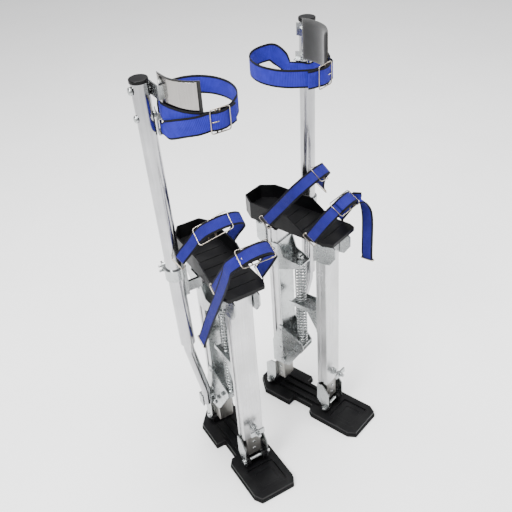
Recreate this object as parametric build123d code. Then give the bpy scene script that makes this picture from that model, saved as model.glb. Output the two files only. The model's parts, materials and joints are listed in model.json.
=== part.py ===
"""A pair of adjustable drywall stilts, each a parallelogram of telescoping struts on a floor plate.

One stilt is modelled in its own frame: +x is outboard, -y is toward the toes, +z is up, and the
origin is on the floor midway between the two foot pivots. place() turns the toes out, shifts the
stilt sideways for the wearer's left and mirrors it for the right, so that the bounding box of the
pair is centred over the origin. All sizes are millimetres.
"""
from math import cos, pi, sin, sqrt, tan
import os

from build123d import *

# ---- stance of the pair
TOE_OUT = 10.0
STANCE = 224.0
CENTRE_SHIFT = 30.51

# ---- four-bar linkage, side view
PIVOT_Y = 86.0
FOOT_PIVOT_Z = 32.0
TOP_PIVOT_Z = 520.0
PIN_R = 4.0
PIN_GAP = 0.05
LUG_R = 10.5
LUG_HALF = 25.5
LUG_INNER = 15.5

# ---- floor plate and rubber sole
SOLE_FRONT = -185.0
SOLE_REAR = 122.0
SOLE_HALF = 53.0
WAIST_HALF = 31.0
WAIST_FRONT = -46.0
WAIST_REAR = 9.0
TREAD_T = 7.0
PLATE_TOP = 16.0

# ---- struts: outer tube slides on inner tube
REAR_STRUT_Y = 57.0
FRONT_STRUT_Y = -75.0
OUTER_W = 50.0
OUTER_D = 28.0
OUTER_WALL = 3.0
OUTER_SIDE_WALL = 6.4
OUTER_Z = (106.0, 508.0)
INNER_W = 36.6
INNER_D = 20.8
INNER_WALL = 2.4
INNER_Z = (47.0, 432.0)
HEIGHT_BOLT_Z = 136.0
GROOVE_DEPTH = 3.0
GROOVE_W = 9.0

# ---- U-brackets at the four pivots
EAR_IN = 26.2
EAR_T = 3.0
EAR_OUT = EAR_IN + EAR_T
WEB_T = 2.6
EAR_R = 10.5

# ---- spring unit between the struts
ROD_R = 4.0
ARM_T = 3.0
LOWER_ARM_Z = 188.0
MIDDLE_ARM_Z = 311.0
UPPER_ARM_Z = 426.0
SPRING_R = 13.0
WIRE_R = 1.6
COLLAR_R = 7.0
FLANGE_R = 13.5
FLANGE_T = 2.5
CHEEK_IN = 25.2
CHEEK_T = 2.5
NOSE_Y = -15.0
NOSE_INSET = 9.5

# ---- calf support tube
TUBE_X = 76.0
TUBE_Y = 33.0
TUBE_LEAN = 1.53
TUBE_R = 15.9
TUBE_WALL = 2.0
TUBE_Z = (343.0, 945.0)
LOWER_TUBE_R = 11.0
LOWER_TUBE_WALL = 2.0
CLAMP_Z = (522.0, 548.0)
CLAMP_ARM_Z = (474.0, 498.0)
CALF_BOLT_Z = 928.0
LOOP_BOLT_Z = 876.0

# ---- calf plate, pad and strap share one oval
CALF_Y = 8.0
STRAP_A = 68.0
STRAP_B = 80.0
STRAP_T = 3.0
WEBBING_W = 36.0
CALF_STRAP_Z = 884.0
CLIP_STRAP_Z = (844.0, 866.0)
PLATE_Z = (876.0, 953.0)
PLATE_ANGLES = (-67.0, 9.0)
FOOT_WEBBING_W = 28.0

# ---- shoe platform
DECK_Z = 533.0
DECK_T = 8.0
DECK_FRONT = -118.0
DECK_REAR = 126.0
DECK_HALF = 46.0
HEEL_WALL_H = 32.0


# ---------------------------------------------------------------- small builders

def block(xs, ys, zs):
    """A box between two corners given as ranges."""
    size = (xs[1] - xs[0], ys[1] - ys[0], zs[1] - zs[0])
    middle = ((xs[0] + xs[1]) / 2, (ys[0] + ys[1]) / 2, (zs[0] + zs[1]) / 2)
    return Pos(*middle) * Box(*size)


def bar(start, end, radius):
    """A round bar between two points."""
    axis = Vector(*end) - Vector(*start)
    plane = Plane(origin=start, z_dir=axis)
    return extrude(plane * Circle(radius), axis.length)


def hexagon_bar(start, end, radius):
    """A hexagonal bar between two points: a nut or a bolt head."""
    axis = Vector(*end) - Vector(*start)
    plane = Plane(origin=start, z_dir=axis)
    return extrude(plane * RegularPolygon(radius, 6), axis.length)


def side_plate(points, x0, x1):
    """A flat plate whose outline is given as (y, z) points, between two x values."""
    outline = Plane.YZ.offset(x0) * Polygon(*points, align=None)
    return extrude(outline, x1 - x0, dir=(1, 0, 0))


def dome(centre, direction, radius, height):
    """A rivet or carriage-bolt head: a low cylinder with a rounded rim."""
    plane = Plane(origin=centre, z_dir=direction)
    head = extrude(plane * Circle(radius), height)
    rim = head.edges().group_by(lambda e: plane.to_local_coords(e.center()).Z)[-1]
    return fillet(rim, min(height, radius) * 0.6)


def tube(xs, ys, zs, wall, corner):
    """A rectangular tube along z."""
    width = xs[1] - xs[0]
    depth = ys[1] - ys[0]
    outer = RectangleRounded(width, depth, corner)
    inner = RectangleRounded(width - 2 * wall, depth - 2 * wall, max(corner - wall, 0.6))
    middle = Pos((xs[0] + xs[1]) / 2, (ys[0] + ys[1]) / 2, zs[0])
    return extrude(middle * (outer - inner), zs[1] - zs[0])


def oval_ring(a, b, thickness, zs):
    """An upright band that follows an oval round the calf."""
    ring = Ellipse(a + thickness / 2, b + thickness / 2) - Ellipse(a - thickness / 2, b - thickness / 2)
    return extrude(Pos(0, CALF_Y, zs[0]) * ring, zs[1] - zs[0])


def group(*pieces):
    """One node that holds several separate solids."""
    solids = []
    for piece in pieces:
        items = piece if isinstance(piece, (list, tuple)) else [piece]
        for item in items:
            solids.extend(item.solids())
    return Compound(children=solids)


# ---------------------------------------------------------------- foot

def sole_face(inset):
    """The waisted outline of the sole, drawn in by inset."""
    half = [
        (SOLE_HALF - 11, SOLE_FRONT),
        (SOLE_HALF, SOLE_FRONT + 19),
        (SOLE_HALF, WAIST_FRONT - 12),
        (SOLE_HALF - 9, WAIST_FRONT),
        (WAIST_HALF, WAIST_FRONT),
        (WAIST_HALF, WAIST_REAR),
        (SOLE_HALF, WAIST_REAR),
        (SOLE_HALF, SOLE_REAR - 36),
        (22, SOLE_REAR),
    ]
    mirrored = [(-x, y) for x, y in reversed(half)]
    face = Polygon(*half, *mirrored, align=None)
    face = fillet(face.vertices(), 3.0)
    return offset(face, -inset) if inset else face


def sole_tread():
    """The rubber sole, with cross grooves underneath and a rib line round its edge."""
    body = extrude(sole_face(0.0), TREAD_T)
    groove_pitch = 14.0
    for number in range(8):
        y = SOLE_FRONT + 22 + number * groove_pitch
        body -= block((-44, 44), (y, y + 4), (-1, 1.6))
    for number in range(6):
        y = WAIST_REAR + 14 + number * groove_pitch
        body -= block((-44, 44), (y, y + 4), (-1, 1.6))
    side_line = sole_face(0.0) - sole_face(0.8)
    body -= extrude(Pos(0, 0, 3.0) * side_line, 1.0)
    return body


def floor_plate():
    """The moulded floor plate: recessed toe panel, ribs, and two lugs and a stop at each foot pivot."""
    plate = extrude(Pos(0, 0, TREAD_T) * sole_face(2.0), PLATE_TOP - TREAD_T)
    panel = Pos(0, SOLE_FRONT + 52, PLATE_TOP - 4) * RectangleRounded(70, 66, 6)
    plate -= extrude(panel, 5)
    inner_panel = Pos(0, SOLE_FRONT + 50, PLATE_TOP - 5.5) * RectangleRounded(44, 40, 5)
    plate -= extrude(inner_panel, 3)
    for x in (-20.0, 0.0, 20.0):
        plate += block((x - 2.5, x + 2.5), (-62, 62), (PLATE_TOP, PLATE_TOP + 5))
    for y in (-PIVOT_Y, PIVOT_Y):
        for x0, x1 in ((-LUG_HALF, -LUG_INNER), (LUG_INNER, LUG_HALF)):
            plate += block((x0, x1), (y - 8, y + 8), (PLATE_TOP, FOOT_PIVOT_Z))
            plate += bar((x0, y, FOOT_PIVOT_Z), (x1, y, FOOT_PIVOT_Z), LUG_R - 1.5)
        inward = -1 if y > 0 else 1
        stop = sorted((y + inward * 6, y + inward * 15))
        plate += block((-LUG_HALF, LUG_HALF), stop, (PLATE_TOP, FOOT_PIVOT_Z + 3))
    for y in (-PIVOT_Y, PIVOT_Y):
        plate -= bar((-LUG_HALF - 1, y, FOOT_PIVOT_Z), (LUG_HALF + 1, y, FOOT_PIVOT_Z), PIN_R + PIN_GAP)
    return plate


# ---------------------------------------------------------------- brackets and struts

def pivot_bolt(y, z):
    """A bolt across both ears with a domed head outboard and a nut inboard."""
    reach = EAR_OUT + 8.5
    shank = bar((-reach, y, z), (EAR_OUT + 1, y, z), PIN_R)
    head = dome((EAR_OUT, y, z), (1, 0, 0), 7.0, 3.6)
    nut = hexagon_bar((-EAR_OUT, y, z), (-EAR_OUT - 5.5, y, z), 7.2)
    return shank + head + nut


def ear_bracket(outline, web_ys, web_zs, pin_y, pin_z):
    """A U-bracket: two ears with a rounded pivot end, joined by a web against the strut."""
    parts = []
    for x0, x1 in ((EAR_IN, EAR_OUT), (-EAR_OUT, -EAR_IN)):
        ear = side_plate(outline, x0, x1) + bar((x0, pin_y, pin_z), (x1, pin_y, pin_z), EAR_R)
        parts.append(ear)
    bracket = parts[0] + parts[1] + block((-EAR_OUT, EAR_OUT), web_ys, web_zs)
    bore = bar((-EAR_OUT - 1, pin_y, pin_z), (EAR_OUT + 1, pin_y, pin_z), PIN_R + PIN_GAP)
    return bracket - bore


def rear_foot_bracket():
    """Sits behind the rear inner strut; its ears reach back to the rear foot pivot."""
    face = REAR_STRUT_Y + INNER_D / 2
    low = FOOT_PIVOT_Z
    outline = [
        (face, 52), (face, 98), (PIVOT_Y - 4, 98), (PIVOT_Y + EAR_R, 84),
        (PIVOT_Y + EAR_R, low), (PIVOT_Y - EAR_R + 4, low - 7),
    ]
    bracket = ear_bracket(outline, (face, face + WEB_T), (52, 98), PIVOT_Y, low)
    rivets = []
    for z in (62, 84):
        rivets.append(dome((-INNER_W / 2, REAR_STRUT_Y, z), (-1, 0, 0), 3.4, 1.6))
    return group(bracket, pivot_bolt(PIVOT_Y, low), rivets)


def front_foot_bracket():
    """Wraps the front inner strut from behind; its ears reach down and forward to the pivot."""
    back = FRONT_STRUT_Y + INNER_D / 2 + WEB_T
    low = FOOT_PIVOT_Z
    outline = [
        (back, 52), (back, 101), (FRONT_STRUT_Y - 2, 101), (-PIVOT_Y - EAR_R, 76),
        (-PIVOT_Y - EAR_R, low), (-PIVOT_Y + EAR_R, low - 1),
    ]
    bracket = ear_bracket(outline, (back - WEB_T, back), (52, 101), -PIVOT_Y, low)
    rivets = []
    for z in (64, 86):
        rivets.append(dome((0, FRONT_STRUT_Y - INNER_D / 2, z), (0, -1, 0), 3.6, 1.8))
    return group(bracket, pivot_bolt(-PIVOT_Y, low), rivets)


def rear_top_bracket():
    """Sits behind the rear outer strut; its ears carry the rear platform pivot."""
    face = REAR_STRUT_Y + OUTER_D / 2
    outline = [
        (face, 452), (face, 508), (PIVOT_Y - 6, TOP_PIVOT_Z + EAR_R - 2),
        (PIVOT_Y + EAR_R, TOP_PIVOT_Z), (PIVOT_Y + EAR_R, 474),
    ]
    bracket = ear_bracket(outline, (face, face + WEB_T), (456, 506), PIVOT_Y, TOP_PIVOT_Z)
    rivets = []
    for z in (468, 490):
        rivets.append(dome((0, face + WEB_T, z), (0, 1, 0), 3.6, 1.8))
    return group(bracket, pivot_bolt(PIVOT_Y, TOP_PIVOT_Z), rivets)


def front_top_bracket():
    """Wraps the front outer strut from behind; its ears carry the front platform pivot."""
    back = FRONT_STRUT_Y + OUTER_D / 2 + WEB_T
    outline = [
        (back, 474), (back, 508), (-PIVOT_Y + 6, TOP_PIVOT_Z + EAR_R - 2), (-105, TOP_PIVOT_Z + 7),
        (-115, TOP_PIVOT_Z), (-115, 496), (-101, 475), (FRONT_STRUT_Y, 470),
    ]
    bracket = ear_bracket(outline, (back - WEB_T, back), (470, 506), -PIVOT_Y, TOP_PIVOT_Z)
    rivets = []
    for z in (478, 498):
        for x in (EAR_OUT, -EAR_OUT):
            rivets.append(dome((x, FRONT_STRUT_Y + 6, z), (x, 0, 0), 3.2, 1.5))
    return group(bracket, pivot_bolt(-PIVOT_Y, TOP_PIVOT_Z), rivets)


def inner_strut(y):
    """The inner tube, with the row of height holes in its front and rear walls."""
    body = tube((-INNER_W / 2, INNER_W / 2), (y - INNER_D / 2, y + INNER_D / 2), INNER_Z, INNER_WALL, 2.2)
    for number in range(9):
        z = 150 + number * 25.4
        body -= bar((0, y - INNER_D, z), (0, y + INNER_D, z), 4.2)
    return body


def outer_strut(y):
    """The outer extrusion: thick side walls, each with a bolt groove down it."""
    profile = RectangleRounded(OUTER_W, OUTER_D, 2.0)
    profile -= Rectangle(OUTER_W - 2 * OUTER_SIDE_WALL, OUTER_D - 2 * OUTER_WALL)
    for side in (-1, 1):
        profile -= Pos(side * OUTER_W / 2, 0) * Rectangle(2 * GROOVE_DEPTH, GROOVE_W)
    return extrude(Pos(0, y, OUTER_Z[0]) * profile, OUTER_Z[1] - OUTER_Z[0])


def height_bolt_hole():
    """The clearance for the clamping bolt through the front wall of the front outer strut."""
    middle = (0, FRONT_STRUT_Y, HEIGHT_BOLT_Z)
    return bar(middle, (0, FRONT_STRUT_Y - OUTER_D, HEIGHT_BOLT_Z), PIN_R)


def front_height_bolt():
    """The clamping bolt in the front strut: long shank, square nut, washer and wing nut."""
    face = FRONT_STRUT_Y - OUTER_D / 2
    z = HEIGHT_BOLT_Z
    shank = bar((0, face + OUTER_WALL, z), (0, face - 30, z), PIN_R)
    washer = bar((0, face, z), (0, face - 2, z), 9.0)
    nut = hexagon_bar((0, face - 2, z), (0, face - 8, z), 7.5)
    hub = bar((0, face - 14, z), (0, face - 24, z), 6.5)
    wings = block((-17, 17), (face - 22, face - 18), (z - 4, z + 9))
    return shank + washer + nut + hub + wings


# ---------------------------------------------------------------- spring unit

def taper(half, shoulder, rear):
    """An upright block as wide as the strut that narrows from the shoulder to the nose at the rod."""
    nose = half - NOSE_INSET
    outline = Polygon(
        (half, rear), (half, shoulder), (nose, NOSE_Y), (-nose, NOSE_Y), (-half, shoulder), (-half, rear),
        align=None,
    )
    return extrude(outline, 520, dir=(0, 0, 1))


def spring_bracket():
    """The C-shaped bracket on the rear strut, with its threaded rod, nuts and strut bolts."""
    face = REAR_STRUT_Y - OUTER_D / 2
    rear = REAR_STRUT_Y + OUTER_D / 2
    lower = [
        (rear, 108), (rear, 176), (face + 6, 232), (face - 3, 232), (-9, LOWER_ARM_Z + 6),
        (-15, LOWER_ARM_Z - 2), (-15, LOWER_ARM_Z - 12), (24, 112), (30, 108),
    ]
    upper = [
        (face + 14, 474), (face + 14, 410), (face, 404), (-9, 420), (-15, 424), (-15, 431),
        (face - 16, 441), (face - 4, 474),
    ]
    plates = block((-OUTER_W / 2, OUTER_W / 2), (face - 3.3, face - 0.3), (110, 474))
    shelf = taper(CHEEK_IN + CHEEK_T, face - 2, face - 0.3)
    for z in (LOWER_ARM_Z - ARM_T, UPPER_ARM_Z):
        plates += shelf & block((-40, 40), (-20, face), (z, z + ARM_T))
    cheeks = taper(CHEEK_IN + CHEEK_T, face - 2, rear) - taper(CHEEK_IN, face - 2, rear)
    for outline in (lower, upper):
        for cheek in (cheeks & side_plate(outline, -40, 40)).solids():
            plates += cheek
    for z in (LOWER_ARM_Z, UPPER_ARM_Z):
        plates -= bar((0, 0, z - 8), (0, 0, z + 8), ROD_R + PIN_GAP)
    rod = bar((0, 0, LOWER_ARM_Z - 20), (0, 0, UPPER_ARM_Z + 24), ROD_R)
    nuts = []
    for z in (LOWER_ARM_Z - ARM_T - 6, UPPER_ARM_Z + ARM_T, UPPER_ARM_Z + 11):
        nuts.append(hexagon_bar((0, 0, z), (0, 0, z + 6), 8.0))
    washers = [bar((0, 0, UPPER_ARM_Z - 2.5), (0, 0, UPPER_ARM_Z), FLANGE_R)]
    washers.append(bar((0, 0, LOWER_ARM_Z), (0, 0, LOWER_ARM_Z + 2.5), FLANGE_R))
    for piece in nuts + washers:
        rod += piece
    bolts = []
    for z in (150, 174):
        bolts.append(bar((0, rear, z), (0, rear + 8, z), 2.8) + hexagon_bar((0, rear, z), (0, rear + 5, z), 6.0))
    for side in (1, -1):
        x = side * (CHEEK_IN + CHEEK_T)
        plates += dome((x, face - 2, 123), (side, 0, 0), 6.8, 4.6)
        for y, z in ((face + 4, 218), (face + 6, 160), (face + 8, 458)):
            plates += dome((x, y, z), (side, 0, 0), 3.4, 1.6)
        slant = Vector(face - NOSE_Y, -NOSE_INSET, 0).normalized()
        for y, z in ((24, 150), (4, 176)):
            edge = CHEEK_IN + CHEEK_T - NOSE_INSET * (face - y) / (face - NOSE_Y)
            start = Vector(side * (edge - 0.3), y, z)
            out = Vector(side * slant.X, slant.Y, 0)
            plates += hexagon_bar(tuple(start), tuple(start + out * 5.0), 5.6)
            plates += bar(tuple(start), tuple(start + out * 7.5), 2.8)
    return group(plates, rod, bolts)


def coil(z0, z1, turns):
    """A compression spring: a helical wire between two closed end rings."""
    lo = z0 + WIRE_R
    hi = z1 - WIRE_R
    radius = SPRING_R - WIRE_R
    path = Pos(0, 0, lo) * Helix(pitch=(hi - lo) / turns, height=hi - lo, radius=radius)
    section = Plane(origin=path @ 0, z_dir=path % 0) * Circle(WIRE_R)
    wire = sweep(section, path, is_frenet=True)
    for z in (lo, hi):
        wire += Pos(0, 0, z) * Torus(radius, WIRE_R)
    return wire


def spring_collar():
    """The flanged bush on the rod, held by the front strut's arm between the two springs."""
    mid = MIDDLE_ARM_Z
    half = ARM_T / 2 + 0.3
    body = bar((0, 0, mid - half - FLANGE_T), (0, 0, mid + half + FLANGE_T), COLLAR_R)
    body += bar((0, 0, mid + half), (0, 0, mid + half + FLANGE_T), FLANGE_R)
    body += bar((0, 0, mid - half - FLANGE_T), (0, 0, mid - half), FLANGE_R)
    return body - bar((0, 0, mid - 12), (0, 0, mid + 12), ROD_R + PIN_GAP)


def spring_arm():
    """The arm on the front strut whose fork holds the collar; gussets run down to the strut."""
    face = FRONT_STRUT_Y + OUTER_D / 2
    mid = MIDDLE_ARM_Z
    arm = block((-20, 20), (face, 18), (mid - ARM_T / 2, mid + ARM_T / 2))
    arm -= block((-COLLAR_R - 0.4, COLLAR_R + 0.4), (-13, 13), (mid - 5, mid + 5))
    arm += block((-22, 22), (face, face + 3), (mid - 50, mid + 16))
    gusset = [
        (face, mid - 48), (face, mid + 14), (face + 10, mid + 10), (18, mid + 8), (18, mid - 1.5),
        (face + 28, mid - 1.5),
    ]
    for x in (20, -22.5):
        arm += side_plate(gusset, x, x + 2.5)
    rivets = []
    for z in (mid - 40, mid - 20):
        for x in (-12, 12):
            rivets.append(dome((x, face + 3, z), (0, 1, 0), 3.2, 1.5))
    return group(arm, rivets)


# ---------------------------------------------------------------- calf support

def tube_axis_x(z):
    """Where the leaning axis of the side tube is at a height."""
    return TUBE_X + (z - TUBE_Z[0]) * tan(TUBE_LEAN * pi / 180)


def lean(shape):
    """Lean a shape built round an upright tube axis outboard, about the foot of the upper tube."""
    foot = (TUBE_X, TUBE_Y, TUBE_Z[0])
    return Pos(*foot) * Rot(0, TUBE_LEAN, 0) * Pos(-foot[0], -foot[1], -foot[2]) * shape


def lower_side_tube():
    """The thinner tube: straight inside the upper one, then bent in to the rear strut's foot."""
    foot = (CHEEK_IN + CHEEK_T + LOWER_TUBE_R + 2.3, REAR_STRUT_Y)
    points = [
        (tube_axis_x(600), TUBE_Y, 600), (tube_axis_x(322), TUBE_Y, 322), (foot[0], foot[1], 158),
        (foot[0], foot[1], 116),
    ]
    path = FilletPolyline(*points, radius=38)
    plane = Plane(origin=path @ 0, z_dir=path % 0)
    ring = plane * (Circle(LOWER_TUBE_R) - Circle(LOWER_TUBE_R - LOWER_TUBE_WALL))
    return sweep(ring, path)


def tube_clamps():
    """The heel clamp round the upper tube with its arm and wing nuts, and the clip at the foot."""
    zs = CLAMP_Z
    x = TUBE_X
    outer = TUBE_R + 4.0
    clamp = bar((x, TUBE_Y, zs[0]), (x, TUBE_Y, zs[1]), outer)
    clamp += block((x - 6, x + 6), (TUBE_Y + 10, TUBE_Y + 34), zs)
    clamp -= bar((x, TUBE_Y, zs[0] - 1), (x, TUBE_Y, zs[1] + 1), TUBE_R + PIN_GAP)
    clamp -= block((x - 2, x + 2), (TUBE_Y + 5, TUBE_Y + 40), (zs[0] - 1, zs[1] + 1))
    bolts = []
    for z in (zs[0] + 7, zs[1] - 7):
        y = TUBE_Y + 27
        shank = bar((x - 11, y, z), (x + 22, y, z), 2.6)
        head = hexagon_bar((x - 6, y, z), (x - 11, y, z), 5.0)
        wing = bar((x + 6, y, z), (x + 14, y, z), 4.6)
        wing += block((x + 10, x + 13), (y - 11, y + 11), (z - 3, z + 3))
        bolts.append(lean(shank + head + wing))
    clamp = lean(clamp)
    band_x = tube_axis_x(zs[0]) - TUBE_R
    arm = block((EAR_OUT + 0.3, band_x), (TUBE_Y - 1, TUBE_Y + 5), CLAMP_ARM_Z)
    arm += block((band_x - 6, band_x + 2), (TUBE_Y - 10, TUBE_Y + 10), (CLAMP_ARM_Z[0], zs[1]))
    arm += block((CHEEK_IN, EAR_OUT + 3), (TUBE_Y - 1, REAR_STRUT_Y + 12), CLAMP_ARM_Z)
    arm -= lean(bar((x, TUBE_Y, CLAMP_ARM_Z[0] - 5), (x, TUBE_Y, zs[1] + 5), TUBE_R + 0.3))
    side = CHEEK_IN + CHEEK_T
    centre_x = side + LOWER_TUBE_R + 2.3
    clip = block((side, centre_x + 13), (REAR_STRUT_Y - 8, REAR_STRUT_Y + 14), (112, 142))
    clip -= bar((centre_x, REAR_STRUT_Y, 105), (centre_x, REAR_STRUT_Y, 150), LOWER_TUBE_R + 0.02)
    clip -= block((centre_x - 3, centre_x + 20), (REAR_STRUT_Y - 20, REAR_STRUT_Y - 5), (105, 150))
    return group(clamp + arm, bolts, clip)


def upper_side_tube():
    """The large straight tube that carries the calf plate."""
    body = bar((TUBE_X, TUBE_Y, TUBE_Z[0]), (TUBE_X, TUBE_Y, TUBE_Z[1]), TUBE_R)
    body -= bar((TUBE_X, TUBE_Y, TUBE_Z[0] - 1), (TUBE_X, TUBE_Y, TUBE_Z[1] + 1), TUBE_R - TUBE_WALL)
    body = lean(body)
    for z in (CALF_BOLT_Z, LOOP_BOLT_Z):
        x = tube_axis_x(z)
        body -= bar((x - 20, TUBE_Y, z), (x + 20, TUBE_Y, z), PIN_R + PIN_GAP)
    return body


def tube_cap():
    """The black push-on cap of the upper tube."""
    top = TUBE_Z[1]
    shell = bar((TUBE_X, TUBE_Y, top - 3), (TUBE_X, TUBE_Y, top + 3.5), TUBE_R + 1.4)
    shell = fillet(shell.edges().group_by(Axis.Z)[-1], 1.6)
    shell -= bar((TUBE_X, TUBE_Y, top - 4), (TUBE_X, TUBE_Y, top), TUBE_R)
    plug = bar((TUBE_X, TUBE_Y, top - 9), (TUBE_X, TUBE_Y, top + 1), TUBE_R - TUBE_WALL - 0.2)
    return lean(shell + plug)


def strap_loop():
    """The bent clip on the tube whose lips hold the gathered calf strap, with its spacer and bolt."""
    zs = (CLIP_STRAP_Z[0] - 2.6, CLIP_STRAP_Z[1] + 2.6)
    lip = 2.0
    loop = oval_ring(STRAP_A + 5.6, STRAP_B + 5.6, 1.8, (zs[0] - lip, LOOP_BOLT_Z + 9))
    for z in (zs[0] - lip, zs[1]):
        loop += oval_ring(STRAP_A + 1.95, STRAP_B + 1.95, 9.1, (z, z + lip))
    loop &= block((40, 80), (TUBE_Y - 13, TUBE_Y + 11), (zs[0] - 5, LOOP_BOLT_Z + 20))
    edge = 69.0
    x = tube_axis_x(LOOP_BOLT_Z)
    z = LOOP_BOLT_Z
    well = lean(bar((TUBE_X, TUBE_Y, z - 20), (TUBE_X, TUBE_Y, z + 20), TUBE_R))
    spacer = bar((edge, TUBE_Y, z), (x - TUBE_R + 2, TUBE_Y, z), 5.0) - well
    shank = bar((edge, TUBE_Y, z), (x + TUBE_R + 1, TUBE_Y, z), PIN_R)
    head = dome((x + TUBE_R - 0.4, TUBE_Y, z), (1, 0, 0), 7.0, 5.0) - well
    return loop + spacer + shank + head


def sector(start, end):
    """A tall wedge from the centre of the calf oval between two angles."""
    points = [(0, CALF_Y)]
    for angle in (start, (start + end) / 2, end):
        points.append((200 * cos(angle * pi / 180), CALF_Y + 200 * sin(angle * pi / 180)))
    return extrude(Pos(0, 0, 700) * Polygon(*points, align=None), 300)


def calf_bracket():
    """The flat arm from the tube to the calf plate, clamped by the pivot bolt it tilts on."""
    gap = 0.7
    z = CALF_BOLT_Z
    x = tube_axis_x(z)
    face = x - TUBE_R - gap
    zs = (z - 13, z + 12)
    plate = block((face - 2.6, face), (-4, TUBE_Y + 12), zs)
    web = block((50, face), (-4, -1.4), zs)
    web -= extrude(Pos(0, CALF_Y, zs[0] - 1) * Ellipse(STRAP_A - 3.5, STRAP_B - 3.5), 40)
    bolt = bar((face - 2.6, TUBE_Y, z), (x + TUBE_R + 2, TUBE_Y, z), PIN_R)
    head = dome((x + TUBE_R + gap, TUBE_Y, z), (1, 0, 0), 7.5, 5.0)
    nut = hexagon_bar((face - 2.6, TUBE_Y, z), (face - 8.0, TUBE_Y, z), 7.0)
    return plate + web + bolt + head + nut


def calf_plate():
    """The curved aluminium plate against the outer front of the calf."""
    return oval_ring(STRAP_A - 4.5, STRAP_B - 4.5, 2.0, PLATE_Z) & sector(*PLATE_ANGLES)


def calf_pad():
    """The foam lining inside the calf plate."""
    zs = (PLATE_Z[0] - 4, PLATE_Z[1] + 4)
    return oval_ring(STRAP_A - 9.0, STRAP_B - 9.0, 6.8, zs) & sector(PLATE_ANGLES[0] - 3, PLATE_ANGLES[1] + 3)


def calf_strap():
    """The webbing loop round the calf, outside the plate; it dips and is gathered in the clip."""
    half = WEBBING_W / 2
    band = oval_ring(STRAP_A, STRAP_B, STRAP_T, (CALF_STRAP_Z - half, CALF_STRAP_Z + half))
    dip = oval_ring(STRAP_A, STRAP_B, STRAP_T, (CLIP_STRAP_Z[0], CALF_STRAP_Z - half + 4))
    gathered = oval_ring(STRAP_A, STRAP_B, STRAP_T, CLIP_STRAP_Z)
    return (band - sector(-16, 46)) + (dip & (sector(-24, -8) + sector(38, 54))) + (gathered & sector(-24, 54))


def calf_buckle():
    """The steel roller buckle on the front of the calf strap: a frame and its prong."""
    angle = -88.0 * pi / 180
    x = (STRAP_A + STRAP_T / 2 + 0.3) * cos(angle)
    y = CALF_Y + (STRAP_B + STRAP_T / 2 + 0.3) * sin(angle)
    normal = Vector(cos(angle) / STRAP_A, sin(angle) / STRAP_B, 0).normalized()
    plane = Plane(origin=(x, y, CALF_STRAP_Z), x_dir=(-normal.Y, normal.X, 0), z_dir=(normal.X, normal.Y, 0))
    frame = RectangleRounded(34, 48, 5) - RectangleRounded(26, 40, 2)
    buckle = extrude(plane * Pos(0, 0, 0.4) * frame, 3.6)
    prong = extrude(plane * Pos(0, 0, 1.2) * Rectangle(33, 3.4), 2.6)
    return buckle + prong


# ---------------------------------------------------------------- shoe platform

def shoe_platform():
    """The black shoe tray: deck, raised heel wall, and a lug under each platform pivot."""
    outline = Polygon(
        (DECK_HALF - 6, DECK_FRONT), (DECK_HALF, DECK_FRONT + 16), (DECK_HALF, DECK_REAR - 30),
        (26, DECK_REAR), (-26, DECK_REAR), (-DECK_HALF, DECK_REAR - 30), (-DECK_HALF, DECK_FRONT + 16),
        (-DECK_HALF + 6, DECK_FRONT), align=None,
    )
    outline = fillet(outline.vertices(), 5)
    deck = extrude(Pos(0, 0, DECK_Z) * outline, DECK_T)
    top = DECK_Z + DECK_T
    rim = extrude(Pos(0, 0, top) * (outline - offset(outline, -3.0)), HEEL_WALL_H)
    slope = [(-120, 700), (-120, top), (-52, top), (-4, top + HEEL_WALL_H), (-4, 700)]
    rim -= side_plate(slope, -60, 60)
    tray = deck + rim
    for y in (-PIVOT_Y, PIVOT_Y):
        tray += block((-LUG_HALF + 2, LUG_HALF - 2), (y - 7, y + 7), (TOP_PIVOT_Z, DECK_Z))
        tray += bar((-LUG_HALF, y, TOP_PIVOT_Z), (LUG_HALF, y, TOP_PIVOT_Z), LUG_R)
    for y in (-PIVOT_Y, PIVOT_Y):
        tray -= bar((-LUG_HALF - 1, y, TOP_PIVOT_Z), (LUG_HALF + 1, y, TOP_PIVOT_Z), PIN_R + PIN_GAP)
    wedge = [
        (DECK_FRONT + 4, DECK_Z), (DECK_FRONT + 8, DECK_Z - 9), (DECK_FRONT + 20, DECK_Z - 9),
        (DECK_FRONT + 20, DECK_Z),
    ]
    tray += side_plate(wedge, -22, 22)
    for number in range(7):
        y = DECK_FRONT + 26 + number * 28
        tray -= block((-34, 34), (y, y + 3), (top - 1.2, top + 1))
    return tray


def strap_plane(base_y, base_z, rise, run):
    """The leaning plane of a strap arch: x stays sideways, the arch climbs up and forward."""
    length = sqrt(rise * rise + run * run)
    return Plane(origin=(0, base_y, base_z), x_dir=(1, 0, 0), z_dir=(0, -rise / length, -run / length))


def strap_arch(plane, half, shoulder, crown, outer_start, inner_start, width):
    """A webbing band that climbs both sides of the shoe and arches over it."""
    def arch_wire(inset):
        side = half - inset
        top = crown - inset
        curve = ThreePointArc((side * 0.94, shoulder), (0, top), (-side * 0.94, shoulder))
        return Wire([
            Edge.make_line((side, outer_start), (side * 0.94, shoulder)),
            curve.edge(),
            Edge.make_line((-side * 0.94, shoulder), (-side, inner_start)),
        ])
    outer = arch_wire(0)
    inner = arch_wire(STRAP_T)
    ends = [
        Edge.make_line(outer @ 0, inner @ 0),
        Edge.make_line(outer @ 1, inner @ 1),
    ]
    face = Face(Wire(outer.edges() + inner.edges() + ends))
    return extrude(plane * Pos(0, 0, -width / 2) * face, width)


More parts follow.
